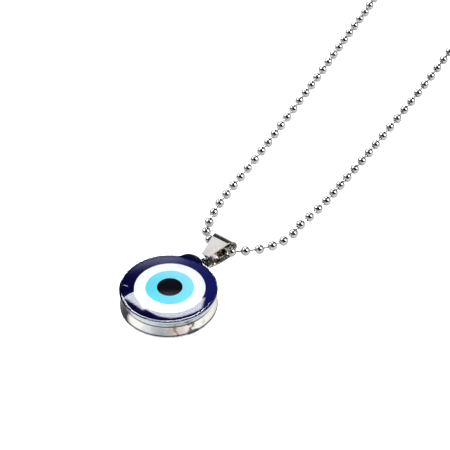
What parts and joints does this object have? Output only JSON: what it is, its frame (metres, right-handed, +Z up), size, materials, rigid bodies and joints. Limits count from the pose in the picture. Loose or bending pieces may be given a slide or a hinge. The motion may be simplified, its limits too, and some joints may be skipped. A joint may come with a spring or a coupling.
{
  "type": "pendant necklace",
  "caption": "Round eye pendant with concentric rings in a polished metal rim, hung by a folded bail on a closed ball chain, lying on a flat surface.",
  "frame": {"origin": "bottom centre of the whole necklace's box, on the surface it lies on", "axes": "+Z up from the surface, +Y from the pendant towards the far end of the chain loop"},
  "size_m": [0.1702, 0.2223, 0.0078],
  "materials": {
    "rim_metal": "polished",
    "front_glass": "gloss",
    "white_ring": "gloss",
    "blue_ring": "gloss",
    "pupil": "gloss",
    "back_glass": "gloss",
    "bail_metal": "polished",
    "chain_metal": "polished"
  },
  "bodies": {
    "root": {"rim": "rim_metal", "front_glass": "front_glass", "white_ring": "white_ring", "blue_ring": "blue_ring", "pupil": "pupil", "back_glass": "back_glass", "bail": "bail_metal", "chain_right": "chain_metal", "chain_left": "chain_metal", "chain_coupling": "chain_metal"}
  },
  "joints": []
}
